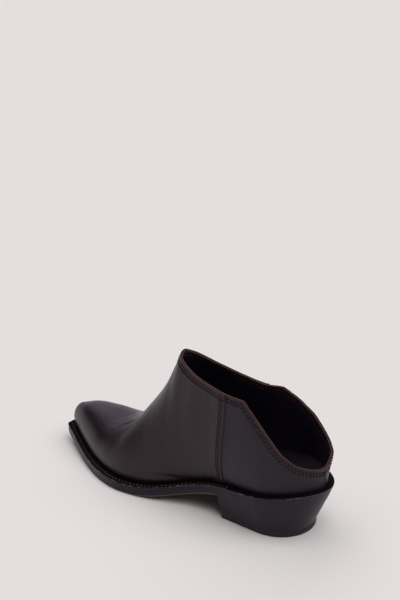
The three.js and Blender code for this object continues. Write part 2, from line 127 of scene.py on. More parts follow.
OUTER_RIM = [
    (0.5, 0.502, 0, 1), (0.55, 0.491, 0.293, 0.952), (0.65, 0.425, 0.69, 0.774),
    (0.75, 0.349, 0.879, 0.628), (0.83, 0.276, 0.966, 0.536), (0.87, 0.237, 0.993, 0.53),
    (0.882, 0.225, 1, 0.526), (0.887, 0.219, 1.003, 0.518), (0.893, 0.21, 1.007, 0.502),
    (0.9, 0.201, 1.01, 0.485), (0.92, 0.179, 1.017, 0.446), (0.94, 0.153, 1.01, 0.39),
    (0.965, 0.104, 0.968, 0.266), (0.9825, 0.0525, 0.805, 0.092), (0.9925, 0.0305, 0.53, 0.034),
    (1, 0.02, 0, 0),
]
# The sections' ends: flare at the foot in degrees, length of both handles as shares of the chord,
# turn of the upper one in degrees, and its lean ahead and outwards
LINES = table("at flare foot top turn ahead out", [
    (0, 68, 0.5, 0.42, 0, 0.6, 0), (0.03, 70, 0.48, 0.4, 48, 0.6, 0),
    (0.07, 72, 0.46, 0.38, 80, 0.6, 0), (0.14, 72, 0.44, 0.36, 90, 0.6, 0),
    (0.21, 72, 0.43, 0.34, 90, 0.6, 0), (0.26, 75, 0.42, 0.31, 90, 0.6, 0),
    (0.32, 78, 0.38, 0.258, 90, 0.6, 0), (0.41, 78, 0.34, 0.187, 80, 0.6, 0),
    (0.46, 76, 0.33, 0.192, 66, 0.6, 0), (0.5, 74, 0.33, 0.19, 50, 0.6, 0),
    (0.55, 72, 0.32, 0.232, 34, 0.55, 0.12), (0.65, 68, 0.31, 0.28, 14, 0.36, 0.22),
    (0.75, 66, 0.3, 0.32, 0, 0.1, 0.12), (0.83, 68, 0.3, 0.32, 0, -0.08, 0.07),
    (0.88, 74, 0.3, 0.33, 0, -0.05, 0.05), (0.94, 82, 0.32, 0.33, 0, 0, 0.05),
    (1, 88, 0.33, 0.33, 0, -0.08, 0),
])


def across_middle(rows):
    """A rim table with a mirrored row beyond each end, where it crosses the middle plane."""
    mirror = lambda row, end: (2 * end[0] - row[0], row[1], -row[2], row[3])
    full = [mirror(rows[1], rows[0]), *rows, mirror(rows[-2], rows[-1])]
    return table("at x y rise", full)


RIMS = {1: across_middle(INNER_RIM), -1: across_middle(OUTER_RIM)}


def along(tab, column, at):
    """A table's column at stations, on a smooth curve through its rows."""
    keys, values = tab["at"], tab[column]
    width = np.diff(keys)
    slope = np.diff(values) / width
    inner = (slope[:-1] * width[1:] + slope[1:] * width[:-1]) / (width[:-1] + width[1:])
    tangent = np.concatenate([slope[:1], inner, slope[-1:]])
    at = np.clip(np.asarray(at, float), keys[0], keys[-1])
    i = np.clip(np.searchsorted(keys, at, side="right") - 1, 0, len(keys) - 2)
    s = (at - keys[i]) / width[i]
    rise = s * s * (3 - 2 * s)
    start = s * (1 - s) ** 2 * width[i] * tangent[i]
    end = s * s * (s - 1) * width[i] * tangent[i + 1]
    return values[i] * (1 - rise) + values[i + 1] * rise + start + end


def smooth(t):
    s = np.clip(t, 0, 1)
    return s * s * (3 - 2 * s)


def mix(a, b, t):
    return a + (b - a) * t


def fade(x, start, length):
    """0 to 1 along the sole, from a start and over a length given as shares of the sole's length."""
    return smooth((np.asarray(x) / SOLE_LENGTH - start) / length)


def sole_lift(x):
    """Height of the outsole's underside above the floor."""
    x = np.asarray(x, float)
    span = TREAD_START - SEAT_END
    t = np.clip((x - SEAT_END) / span, 0, 1)
    seat = SEAT_RISE - SEAT_SLOPE * x
    fall = (SEAT_RISE - SEAT_SLOPE * SEAT_END) * (1 - smooth(t)) - SEAT_SLOPE * span * t * (1 - t) ** 2
    toe = TOE_SPRING * (np.clip(x - TREAD_END, 0, None) / (SOLE_LENGTH - TREAD_END)) ** 2
    return np.where(x < SEAT_END, seat, np.where(x < TREAD_START, fall, toe))


def welt_top(x):
    return sole_lift(x) + SOLE_EDGE


def sole_half(x, side):
    return BALL_WIDTH * along(PLAN, "inner" if side > 0 else "outer", np.asarray(x) / SOLE_LENGTH)


def welt_show(x):
    return SHOW_HEEL + (SHOW_TOE - SHOW_HEEL) * fade(x, *SHOW_FADE)


class Edge:
    """An outline of the sole's kind: flat front with rounded corners, and a round back."""

    def __init__(self, back, front, half, corner=TOE_CORNER, round_x=None, power=ROUND_POWER):
        self.back = back
        self.front = front
        self.half = half
        self.corner = corner
        self.round_x = ROUND_SHARE * SOLE_LENGTH if round_x is None else round_x
        self.power = power

    def side(self, side, steps):
        """Points from the middle of the front to the middle of the back, on one side."""
        face, corner, length, back = steps
        half = self.half
        front_half = float(half(self.front, side))
        slant = math.atan((half(self.front - SLANT_STEP, side) - front_half) / SLANT_STEP)
        sweep = math.pi / 2 - slant
        bite = math.tan(sweep / 2)
        radius = min(self.corner, CORNER_LIMIT * front_half / bite)
        face_half = front_half - radius * bite
        points = [np.stack([np.full(face, self.front), face_half * np.arange(face) / face], 1)]
        turn = sweep * np.arange(corner + 1) / corner
        start = self.front - radius + radius * math.cos(sweep)
        points.append(np.stack([
            self.front - radius + radius * np.cos(turn),
            face_half + radius * np.sin(turn),
        ], 1))
        x = start + (self.round_x - start) * np.arange(1, length + 1) / length
        points.append(np.stack([x, half(x, side)], 1))
        turn = math.pi / 2 * np.arange(1, back + 1) / back
        sin, cos = np.sin(turn), np.clip(np.cos(turn), 0, None)
        y = half(self.round_x, side) * cos ** (2 / self.power)
        y[-1] = 0
        x = self.round_x - (self.round_x - self.back) * sin ** (2 / self.power)
        points.append(np.stack([x, y], 1))
        out = np.concatenate(points)
        out[:, 1] *= side
        return out

    def ring(self, height, steps):
        """A closed ring: inner side from front to back, then outer side from back to front."""
        flat = np.concatenate([self.side(1, steps), self.side(-1, steps)[1:-1][::-1]])
        return np.column_stack([flat, height(flat[:, 0])])


def insets(inset, toe, heel):
    """An inset as a function along the sole, and its sizes at the toe and at the heel."""
    inset_at = inset if callable(inset) else lambda x: inset
    return inset_at, inset if toe is None else toe, inset if heel is None else heel


def sole_inset(inset, toe=None, heel=None, corner=TOE_CORNER):
    """The sole's edge moved inwards."""
    inset_at, toe, heel = insets(inset, toe, heel)

    def half(x, side):
        x = np.asarray(x, float)
        reach = SLANT_STEP / 10
        slant = (sole_half(x + reach, side) - sole_half(x - reach, side)) / (2 * reach)
        return sole_half(x, side) - inset_at(x) * np.hypot(1, slant)

    return Edge(heel, SOLE_LENGTH - toe, half, corner)


def side_lean(x, depth):
    return depth * SIDE_TAPER * (1 - fade(x, *LEAN_FADE))


def leaning(inset, depth, toe=None, heel=None):
    """The sole's edge, which leans in with depth round the heel seat."""
    inset_at, toe, heel = insets(inset, toe, heel)
    return sole_inset(lambda x: inset_at(x) + side_lean(x, depth), toe, heel + depth * BACK_TAPER)


# Upper: section lines from the lower edge to the ridge or the rim
FEATHER_CORNER = 5.0
FEATHER_STEPS = (24, 40, 700, 200)
FEATHER_REACH = 0.006  # share of the feather line to either side, for its direction
RUN_REACH = 0.004  # the same along the upper's stations
FOOT_RISE = 0.3  # of the sections' lower ends above the welt's top


def feather_side(side):
    points = sole_inset(welt_show, SHOW_TOE, SHOW_HEEL, FEATHER_CORNER).side(side, FEATHER_STEPS)
    runs = np.concatenate([[0], np.cumsum(np.hypot(*np.diff(points, axis=0).T))])
    return points, runs


FEATHER = {s: feather_side(s) for s in (1, -1)}
FEATHER_LENGTH = FEATHER[1][1][-1]


def feather_point(side, share):
    points, runs = FEATHER[side]
    at = np.clip(share, 0, 1) * runs[-1]
    return np.stack([np.interp(at, runs, points[:, k]) for k in (0, 1)], -1)


def feather_out(side, share):
    run = feather_point(side, share + FEATHER_REACH) - feather_point(side, share - FEATHER_REACH)
    out = side * np.stack([run[..., 1], -run[..., 0]], -1)
    out /= np.linalg.norm(out, axis=-1, keepdims=True)
    out[share <= 0] = (1, 0)
    out[share >= 1] = (-1, 0)
    return out


def ridge_point(at):
    x = SOLE_LENGTH * along(RIDGE, "x", at)
    height = TOE_HEIGHT + (COLLAR_FRONT - TOE_HEIGHT) * along(RIDGE, "rise", at)
    return np.stack([x, np.zeros_like(x), welt_top(x) + height], -1)


def rim_point(side, at):
    rim = RIMS[side]
    x = SOLE_LENGTH * along(rim, "x", at)
    height = BACK_HEIGHT + (COLLAR_FRONT - BACK_HEIGHT) * along(rim, "rise", at)
    return np.stack([x, side * along(rim, "y", at) * COLLAR_WIDTH / 2, welt_top(x) + height], -1)


def unit(v):
    return v / np.maximum(np.linalg.norm(v, axis=-1, keepdims=True), TINY)


def section_controls(side, at):
    """The four control points of each section line, as an array (stations, 4, 3)."""
    share = along(FEET, "foot", at)
    flat = feather_point(side, share)
    out = feather_out(side, share)
    foot = np.column_stack([flat, welt_top(flat[:, 0]) + FOOT_RISE])
    on_ridge = (at < COLLAR_AT)[:, None]
    top = np.where(on_ridge, ridge_point(at), rim_point(side, at))
    chord = np.linalg.norm(top - foot, axis=1)[:, None]
    flare = np.radians(along(LINES, "flare", at))[:, None]
    rise = np.concatenate([out * np.cos(flare), np.sin(flare)], 1)
    ridge_down = unit(ridge_point(np.maximum(0, at - RUN_REACH)) - ridge_point(at + RUN_REACH))
    lean = np.stack([along(LINES, "ahead", at), side * along(LINES, "out", at), -np.ones_like(at)], 1)
    down = np.where(on_ridge, ridge_down, unit(lean))
    run = rim_point(side, at + RUN_REACH) - rim_point(side, at - RUN_REACH)
    run[:, 2] = 0
    across = np.where(on_ridge, np.array([0.0, side, 0.0]), unit(run))
    turn = np.radians(along(LINES, "turn", at))[:, None]
    way = unit(down * np.cos(turn) + across * np.sin(turn))
    lower = foot + rise * along(LINES, "foot", at)[:, None] * chord
    upper = top + way * along(LINES, "top", at)[:, None] * chord
    return np.stack([foot, lower, upper, top], 1)


DENSE = np.linspace(0, 1, 1001)
EASE_LEAST = 0.004  # share of the run over which the controls are eased, away from the collar's front
EASE_MORE = 0.034  # and how much more at the collar's front
EASE_SPAN = 0.3
EASE_MIRRORED = 150  # of DENSE's steps, carried on beyond each end
TOP_EASED_TO = 0.4  # share up each section to which the eased top holds


def eased_controls(side):
    """Control points on DENSE with the two middle ones eased along the run, and an eased top added."""
    controls = section_controls(side, DENSE)
    reach = EASE_LEAST + EASE_MORE * smooth(1 - abs(DENSE - COLLAR_AT) / EASE_SPAN)
    flip = np.array([1, -1, 1])
    first, last = slice(1, EASE_MIRRORED), slice(-EASE_MIRRORED, -1)
    padded = np.concatenate([controls[first][::-1] * flip, controls, controls[last][::-1] * flip])
    keys = np.concatenate([-DENSE[first][::-1], DENSE, 2 - DENSE[last][::-1]])
    weight = np.exp(-0.5 * ((DENSE[:, None] - keys[None]) / reach[:, None]) ** 2)
    weight /= weight.sum(1, keepdims=True)
    eased = np.einsum("ij,jkl->ikl", weight, padded)
    controls[:, 1:3] = eased[:, 1:3]
    return np.concatenate([controls, eased[:, 3:]], 1)


CONTROLS = {s: eased_controls(s) for s in (1, -1)}


def surface(side, at, t):
    """Points of the upper's outside at stations along and shares up, as (len(at), len(t), 3)."""
    flat = CONTROLS[side].reshape(len(DENSE), -1)
    c = np.stack([np.interp(at, DENSE, column) for column in flat.T], -1).reshape(len(at), -1, 3)
    t = np.asarray(t)[None, :, None]
    foot, lower, upper, top, eased_top = (c[:, k][:, None, :] for k in range(c.shape[1]))
    top = mix(eased_top, top, smooth((t - TOP_EASED_TO) / (1 - TOP_EASED_TO)))
    return (1 - t) ** 3 * foot + 3 * t * (1 - t) ** 2 * lower + 3 * t * t * (1 - t) * upper + t ** 3 * top


def spread(stops):
    """Stations in even steps between stops given as (station, steps up to it)."""
    out = [np.array([stops[0]])]
    last = stops[0]
    for to, steps in stops[1:]:
        out.append(last + (to - last) * np.arange(1, steps + 1) / steps)
        last = to
    return np.concatenate(out)


def normals(side, points, at):
    """Outward normals of a grid of the upper, level across the middle plane where it meets it."""
    run = np.gradient(points, axis=0, edge_order=2)
    up = np.gradient(points, axis=1, edge_order=2)
    n = unit(np.cross(run, up)) * side
    middle = np.zeros(points.shape[:2], bool)
    middle[(at <= 0) | (at >= 1)] = True
    middle[at <= COLLAR_AT + TINY, -1] = True
    n[middle, 1] = 0
    return unit(n)


RIM_POINTS = np.linspace(COLLAR_AT, 1, 900)
RIM_LINE = np.concatenate([rim_point(side, RIM_POINTS) for side in (1, -1)])
AT_ONCE = 200  # points of a line compared at a time, to save memory


def distance_to(line, points):
    """Distance of each grid point to a dense line of points."""
    flat = points.reshape(-1, 3)
    best = np.full(len(flat), np.inf)
    for k in range(0, len(line), AT_ONCE):
        part = line[k:k + AT_ONCE]
        best = np.minimum(best, ((flat[:, None] - part[None]) ** 2).sum(-1).min(1))
    return np.sqrt(best).reshape(points.shape[:2])


# Stitching: distances of its rows from the edge that they follow, and the shape of one stitch
RIM_ROWS = (2.4, 4.6)
SEAM_ROWS = (2.4, 4.4)
PITCH = 2.9
WELT_PITCH = 3.7
WELT_THREAD_SHARE = 0.46
WELT_THREAD_HALF = 0.42
WELT_ROW = 0.47  # of the welt's show, in from its edge
WELT_ROW_START = 72.0
WELT_ROW_STEPS = (6, 14, 400, 20)
WELT_GROOVE = 0.3
THREAD_SHARE = 0.56  # of the pitch
THREAD_HALF = 0.38
LOOP_SHARE = 0.5
LOOP_HALF = 0.36
LOOP_SINK = 0.05
THREAD_TILT = math.radians(9)
THREAD_ARCH = (0.75, 0.9)  # height at the middle and fall to the ends, of half the thickness
ROW_DEPTH = 0.3
ROW_DEPTH_INSIDE = 0.7  # of the depth outside
ROW_WIDTH = 0.6
ROW_CLEAR = 1.2  # between the end of a seam row and the rim's rows
# Discs of painted shade at the stitch holes: their rise, radius, section and sides
HOLE_RISE = 0.14
HOLE_RADIUS = 0.8
HOLE_PROFILE = [(1.0, -0.12), (0.6, HOLE_RISE), (0.02, HOLE_RISE)]  # shares of the radius, and heights
HOLE_SIDES = 8
TACK_AT = np.array([0.9905, 0.9925, 0.9945, 0.9965, 0.9985])
TACK_ROWS = (RIM_ROWS[0] + 0.6, RIM_ROWS[1] + 1.0)
TACK_LENGTH = 2.0
BACK_SEAM_HALF = 0.32

# Soft folds, in the sole's frame: points along them, how far they stand out and how wide
FOLDS = [
    ([(180.4, 7.1, 49.6), (188.2, 11.9, 44.8), (195, 16.9, 41), (201.5, 21.6, 37.1)], 0.5, 2.2),
    ([(195.5, -8.3, 43.9), (191.8, 0.4, 45.6), (197.5, 7, 44.2), (203.2, 12.8, 42.2),
      (206.8, 14.2, 41.5)], -0.3, 1.9),
    ([(188.9, 4.3, 46.1), (190.5, 9.6, 44.7), (198.4, 15.7, 41), (207.1, 20.5, 37.2)], -0.35, 1.8),
    ([(166.5, 20, 58.1), (181.9, 13.5, 47.1), (192.5, 17.1, 41.6), (202.7, 22.3, 36.4)], -0.5, 2.2),
    ([(188, -14, 44.5), (195, -19, 40), (203, -24, 35)], -0.45, 2.2),
    ([(182, -9, 48.5), (189, -14.5, 44), (196, -19.5, 39.5)], 0.35, 2.2),
    ([(165.4, 39.2, 17.6), (153.8, 37.6, 18.9), (142.9, 35.5, 20.4), (131.7, 32.2, 21.2),
      (119.4, 28.5, 22.3), (106.4, 26, 26.3)], -0.7, 1.9),
    ([(165, -37, 17.5), (150, -36, 19), (135, -33, 20.5), (118, -29, 22.5)], -0.5, 2.0),
]
FOLD_POINTS = 60
SEAM_UP = np.linspace(0, 1, 300)
FOLD_FADE = 0.35  # share of a fold at each end over which it fades
FOLD_REACH = 4  # widths from its line at which a fold has ended


def fold_line(stops):
    """Points along a fold, with weights that fade it out at both ends."""
    knots = np.array(stops, float)
    at = np.linspace(0, 1, FOLD_POINTS)
    keys = np.linspace(0, 1, len(knots))
    line = np.stack([np.interp(at, keys, knots[:, k]) for k in range(3)], 1)
    return line, smooth(np.minimum(at, 1 - at) / FOLD_FADE)


FOLD_LINES = [(*fold_line(stops), rise, width) for stops, rise, width in FOLDS]


def furrows(distance, rows):
    """Depth of the furrows in which rows of stitches lie."""
    return -sum(ROW_DEPTH * np.exp(-0.5 * ((distance - d) / ROW_WIDTH) ** 2) for d in rows)


def folds(points):
    flat = points.reshape(-1, 3)
    total = np.zeros(len(flat))
    for line, weight, rise, width in FOLD_LINES:
        reach = np.linalg.norm(line[0] - line[-1]) + FOLD_REACH * width
        near = np.linalg.norm(flat - line.mean(0), axis=1) < reach
        away = ((flat[near][:, None] - line[None]) ** 2).sum(-1)
        total[near] += rise * (weight * np.exp(-away / (2 * width ** 2))).max(1)
    return total.reshape(points.shape[:2])


def lap(at):
    """How far the vamp stands out over the quarter ahead of the side seam."""
    ahead = (along(FEET, "foot", SEAM_AT) - along(FEET, "foot", at)) * FEATHER_LENGTH
    return LAP_RISE * (1 - smooth(ahead / LAP_LENGTH)) * (at <= SEAM_AT + TINY)


def seam_distance(side, points):
    return distance_to(surface(side, np.array([SEAM_AT]), SEAM_UP)[0], points)


def skin(side, at, rows):
    """The leather's outside on a grid, its normals, and distances to the rim and to the side seam."""
    points = surface(side, at, rows)
    n = normals(side, points, at)
    from_rim = distance_to(RIM_LINE, points)
    from_seam = seam_distance(side, points)
    on_vamp = (at <= SEAM_AT + TINY)[:, None]
    raised = furrows(from_rim, RIM_ROWS) + furrows(from_seam, SEAM_ROWS) * on_vamp
    raised = raised + lap(at)[:, None] + folds(points)
    return points + n * raised[..., None], n, from_rim, from_seam


# Meshes
MERGE = 0.02  # points of two halves this close become one


def to_part(points):
    return (np.asarray(points, float) - np.array([ORIGIN_X, 0, 0])) * MM


def make_mesh(name, points, faces, materials, slots=None, merge=None):
    """A smooth object; slots gives each face the number of its material."""
    materials = materials if isinstance(materials, (list, tuple)) else [materials]
    mesh = bpy.data.meshes.new(name)
    mesh.from_pydata(to_part(points).tolist(), [], [tuple(int(i) for i in f) for f in faces])
    for material in materials:
        mesh.materials.append(material)
    if slots is not None:
        mesh.polygons.foreach_set("material_index", np.asarray(slots, np.int32))
    if merge:
        bm = bmesh.new()
        bm.from_mesh(mesh)
        bmesh.ops.remove_doubles(bm, verts=bm.verts, dist=merge * MM)
        bm.to_mesh(mesh)
        bm.free()
    mesh.polygons.foreach_set("use_smooth", [True] * len(mesh.polygons))
    obj = bpy.data.objects.new(name, mesh)
    bpy.context.scene.collection.objects.link(obj)
    return obj


def grid_faces(columns, rows, start=0, flip=False, closed=False):
    """Quads of a grid of points, stored column by column."""
    wrap = columns if closed else columns - 1
    c, r = np.meshgrid(np.arange(wrap), np.arange(rows - 1), indexing="ij")
    nxt = (c + 1) % columns
    here, there = c * rows + r, nxt * rows + r
    quad = np.stack([here, there, there + 1, here + 1], -1).reshape(-1, 4)
    if flip:
        quad = quad[:, ::-1]
    return quad + start


def join_grids(grids):
    """(points, faces) of several grids given as (points (columns, rows, 3), flip)."""
    points, faces, start = [], [], 0
    for grid, flip in grids:
        columns, rows = grid.shape[:2]
        points.append(grid.reshape(-1, 3))
        faces.append(grid_faces(columns, rows, start, flip))
        start += columns * rows
    return np.concatenate(points), np.concatenate(faces)


def mesh_of(name, grids, materials, slots=None, merge=None):
    points, faces = join_grids(grids)
    return make_mesh(name, points, faces, materials, slots, merge)


# Materials
WHITE = (1.0, 1.0, 1.0, 1.0)
AUBERGINE_SHEEN = (0.97, 0.84, 1.0, 1.0)
BLUE_SHEEN = (0.91, 0.84, 1.0, 1.0)


def new_material(name):
    material = bpy.data.materials.new(name)
    material.use_nodes = True
    tree = material.node_tree
    tree.nodes.clear()
    out = tree.nodes.new("ShaderNodeOutputMaterial")
    shader = tree.nodes.new("ShaderNodeBsdfPrincipled")
    tree.links.new(shader.outputs[0], out.inputs[0])
    return material, tree, shader


def srgb(r, g, b):
    c = np.array([r, g, b]) / 255
    lin = np.where(c <= 0.04045, c / 12.92, ((c + 0.055) / 1.055) ** 2.4)
    return (*[float(v) for v in lin], 1.0)


def node(tree, kind, **sockets):
    made = tree.nodes.new(kind)
    for key, value in sockets.items():
        made.inputs[key].default_value = value
    return made


def blend(tree, factor, low, high):
    """A colour between two others by a factor from another node."""
    made = tree.nodes.new("ShaderNodeMix")
    made.data_type = "RGBA"
    made.inputs[6].default_value = low
    made.inputs[7].default_value = high
    tree.links.new(factor, made.inputs[0])
    return made.outputs[2]


def object_place(tree):
    return tree.nodes.new("ShaderNodeTexCoord").outputs["Object"]


def noise(tree, place, scale, detail, roughness):
    made = node(tree, "ShaderNodeTexNoise", Scale=scale, Detail=detail, Roughness=roughness)
    tree.links.new(place, made.inputs["Vector"])
    return made.outputs[0]


def bumped(tree, height, strength, distance, below=None):
    """A normal bent by a height, on top of another one where it is given."""
    made = node(tree, "ShaderNodeBump", Strength=strength, Distance=distance)
    tree.links.new(height, made.inputs["Height"])
    if below:
        tree.links.new(below, made.inputs["Normal"])
    return made.outputs[0]


def shine(shader, roughness, ior, tint):
    shader.inputs["Roughness"].default_value = roughness
    shader.inputs["IOR"].default_value = ior
    shader.inputs["Specular Tint"].default_value = tint


# Noises, as scale per metre, detail and roughness, and bumps, as strength and depth in metres
CLOUDS = (28.0, 3.0, 0.55)
WAVES = (300.0, 3.0, 0.6)
WAVE_BUMP = (0.45, 0.0004)
PORE_SCALE = 1300.0
FINE = (2200.0, 2.0, 0.5)
GRAIN_DEPTH = 0.00012
STREAKS = (1.0, 3.0, 0.6)
STREAK_SCALES = (12, 12, 700)
STREAK_BUMP = (0.25, 0.0001)
GLINT_NOISE = (260.0, 4.0, 0.7)
GLINT_LEVELS = (0.5, 0.62)  # of the noise, between which the edge goes from dark to the pale painted glint


def leather(name, color, dark, roughness, grain, ior, tint=WHITE):
    """Fine grained leather, clouded between two colours."""
    material, tree, shader = new_material(name)
    place = object_place(tree)
    clouds = noise(tree, place, *CLOUDS)
    tree.links.new(blend(tree, clouds, dark, color), shader.inputs["Base Color"])
    pores = node(tree, "ShaderNodeTexVoronoi", Scale=PORE_SCALE)
    tree.links.new(place, pores.inputs["Vector"])
    both = tree.nodes.new("ShaderNodeMath")
    both.operation = "ADD"
    tree.links.new(pores.outputs["Distance"], both.inputs[0])
    tree.links.new(noise(tree, place, *FINE), both.inputs[1])
    waves = bumped(tree, noise(tree, place, *WAVES), *WAVE_BUMP)
    tree.links.new(bumped(tree, both.outputs[0], grain, GRAIN_DEPTH, waves), shader.inputs["Normal"])
    shine(shader, roughness, ior, tint)
    return material


def layered(name, color, dark, roughness, ior, tint):
    """Waxed edge of stacked leather, with faint level streaks."""
    material, tree, shader = new_material(name)
    mapping = tree.nodes.new("ShaderNodeMapping")
    mapping.inputs["Scale"].default_value = STREAK_SCALES
    tree.links.new(object_place(tree), mapping.inputs["Vector"])
    streaks = noise(tree, mapping.outputs[0], *STREAKS)
    tree.links.new(blend(tree, streaks, dark, color), shader.inputs["Base Color"])
    tree.links.new(bumped(tree, streaks, *STREAK_BUMP), shader.inputs["Normal"])
    shine(shader, roughness, ior, tint)
    return material


def glint_patches(name, color, pale_patch, roughness):
    """A dark edge with small pale patches: a painted glint."""
    material, tree, shader = new_material(name)
    patch = tree.nodes.new("ShaderNodeMapRange")
    for k, stop in enumerate((*GLINT_LEVELS, 0.0, 1.0)):
        patch.inputs[k + 1].default_value = stop
    tree.links.new(noise(tree, object_place(tree), *GLINT_NOISE), patch.inputs[0])
    tree.links.new(blend(tree, patch.outputs[0], color, pale_patch), shader.inputs["Base Color"])
    shader.inputs["Roughness"].default_value = roughness
    return material


def plain(name, color, roughness, specular=0.5):
    material, _, shader = new_material(name)
    shader.inputs["Base Color"].default_value = color
    shader.inputs["Roughness"].default_value = roughness
    shader.inputs["Specular IOR Level"].default_value = specular
    return material


# Roughness, grain, index of refraction and tint follow the colours of a leather,
# and roughness and specular level that of a plain finish
AUBERGINE = (0.0104, 0.0040, 0.0046, 1)
AUBERGINE_DARK = (0.0070, 0.0026, 0.0029, 1)
PLUM = (0.0090, 0.0052, 0.0095, 1)
PLUM_DARK = (0.0062, 0.0034, 0.0064, 1)
VAMP = leather("vamp leather", AUBERGINE, AUBERGINE_DARK, 0.33, 0.5, 1.43, AUBERGINE_SHEEN)
QUARTER = leather("quarter leather", PLUM, PLUM_DARK, 0.37, 0.5, 1.42, BLUE_SHEEN)
LINING = leather("lining leather", srgb(28, 17, 37), srgb(21, 12, 27), 0.65, 0.2, 1.3)
OUTER_EDGE = plain("outer ply edge", srgb(60, 41, 35), 0.75, 0.15)
INNER_EDGE = plain("lining ply edge", srgb(92, 64, 50), 0.75, 0.15)
LAP_EDGE = plain("vamp edge", srgb(52, 36, 34), 0.7, 0.3)
# Near-black for the gap between the collar's plies and for the back seam's joint: painted shade
SEAM_SHADE = plain("painted seam shade", srgb(14, 9, 10), 0.85, 0.08)
THREAD = plain("thread", srgb(68, 42, 33), 0.6, 0.15)
WELT_THREAD = plain("welt thread", srgb(108, 73, 51), 0.6, 0.3)
# Near-black discs at the stitch holes: painted shade
HOLE_SHADE = plain("painted hole shade", srgb(9, 5, 6), 0.9, 0.05)
INSOLE_LEATHER = leather("insole leather", srgb(22, 17, 19), srgb(18, 13, 15), 0.65, 0.2, 1.18)
# The welt's top: near-black for its stain and for painted shade, as if shadowed by the upper
WELT_TOP_STAIN_AND_SHADE = plain("welt top stain and painted shade", srgb(8, 6, 8), 0.75, 0.08)
SOLE_FINISH = layered("sole edge", srgb(22, 18, 31), srgb(15, 12, 22), 0.4, 1.37, BLUE_SHEEN)
LIFT_RUBBER = plain("lift", srgb(19, 17, 26), 0.45, 0.36)
# Small pale patches on the welt's rounded top edge: a painted glint
WELT_GLINT = glint_patches("welt edge painted glint", srgb(22, 19, 25), srgb(150, 140, 142), 0.35)
SOLE_LINE = plain("raw sole edge", srgb(138, 94, 68), 0.7, 0.3)
TREAD = plain("tread", srgb(46, 40, 40), 0.6)


def finish_piece(obj, slot, *nodes):
    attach(obj, "root")
    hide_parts(*nodes)


# Upper
VAMP_AT = spread([
    0, (0.03, 14), (0.12, 20), (0.455, 76), (COLLAR_AT, 30), (0.6, 26), (0.79, 34), (SEAM_AT, 34),
])
QUARTER_AT = spread([SEAM_AT - 0.012, (SEAM_AT, 6), (0.91, 44), (0.97, 36), (1, 44)])
LINING_AT = spread([0, (0.1, 16), (0.46, 48), (COLLAR_AT, 16), (0.6, 20), (0.91, 56), (1, 50)])
ROWS = spread([0, (0.06, 8), (0.9, 66), (1, 26)])
FOOT_DROP = 0.9  # the leather runs on below the welt's top by this much
TURN_OVER = [(0.14, -0.03), (0.26, -0.14), (0.32, -0.3)]  # the vamp's cut edge: run back and height
CUT_FOOT = (0.34, -0.1)  # where that edge meets the quarter


def foot_row(points):
    row = points[:, :1].copy()
    row[..., 2] -= FOOT_DROP
    return row


def cut_edge(side, points, n):
    """Columns that turn the vamp over at its rounded, cut edge and down to the quarter."""
    flat = surface(side, np.array([SEAM_AT, SEAM_AT + RUN_REACH]), ROWS)
    back = unit(flat[1] - flat[0])
    base = flat[0]
    edge = points[-1]
    out = n[-1]
    height = ((edge - base) * out).sum(1, keepdims=True)
    over = [edge + back * run + out * rise for run, rise in TURN_OVER]
    over.append(edge + back * CUT_FOOT[0] - out * (height - CUT_FOOT[1]))
    return np.stack(over)


def build_vamp():
    grids, slots = [], []
    for side in (1, -1):
        points, n = skin(side, VAMP_AT, ROWS)[:2]
        turned = cut_edge(side, points, n)
        whole = np.concatenate([points, turned])
        grids.append((np.concatenate([foot_row(whole), whole], 1), side < 0))
        per_column = np.zeros(len(whole) - 1, int)
        per_column[-2:] = 1  # the cut edge
        slots.append(np.repeat(per_column, len(ROWS)))
    return mesh_of("vamp", grids, [VAMP, LAP_EDGE], np.concatenate(slots), MERGE)


def build_quarter():
    grids = []
    for side in (1, -1):
        points = skin(side, QUARTER_AT, ROWS)[0]
        grids.append((np.concatenate([foot_row(points), points], 1), side < 0))
    return mesh_of("quarter", grids, QUARTER, merge=MERGE)


def build_lining():
    grids = []
    for side in (1, -1):
        points = surface(side, LINING_AT, ROWS)
        n = normals(side, points, LINING_AT)
        furrow = furrows(distance_to(RIM_LINE, points), RIM_ROWS) * ROW_DEPTH_INSIDE
        grids.append((points - n * (WALL + furrow)[..., None], side > 0))
    return mesh_of("lining", grids, LINING, merge=MERGE)


# Section of the cut edge: depth into the wall and height; the gap between the plies is its dip, coloured
# near-black as painted shade
RIM_PROFILE = [
    (0.0, -0.45), (-0.06, -0.2), (-0.25, -0.03), (-0.55, 0.0), (-0.92, -0.04), (-1.05, -0.3),
    (-1.45, -0.3), (-1.55, -0.04), (-1.8, 0.0), (-2.05, -0.1), (-2.2, -0.35),
]
# Material of each band of that section: outer ply, the dark dip of painted shade, lining ply
RIM_PLIES = [0, 0, 0, 0, 0, 1, 2, 2, 2, 2]
LAP_STEP = 0.0005  # the stations over which the rim drops from the vamp to the quarter
RIM_AT = spread([
    COLLAR_AT, (0.6, 60), (SEAM_AT - LAP_STEP, 110), (SEAM_AT + LAP_STEP, 2),
    (0.91, 90), (0.97, 60), (1, 60),
])


def build_rim():
    """The cut edges of the two plies, all the way round the collar."""
    grids = []
    for side in (1, -1):
        points = surface(side, RIM_AT, ROWS)
        out = normals(side, points, RIM_AT)[:, -1]
        run = unit(np.gradient(rim_point(side, RIM_AT), axis=0))
        up = unit(np.cross(run, out))
        up *= np.sign(up[:, 2:3])
        lift = lap(RIM_AT)[:, None]
        rows = [points[:, -1] + out * (d + lift * (1 + d / WALL)) + up * h for d, h in RIM_PROFILE]
        grids.append((np.stack(rows, 1), side < 0))
    slots = np.tile(RIM_PLIES, 2 * (len(RIM_AT) - 1))
    return mesh_of("rim", grids, [OUTER_EDGE, SEAM_SHADE, INNER_EDGE], slots, MERGE)


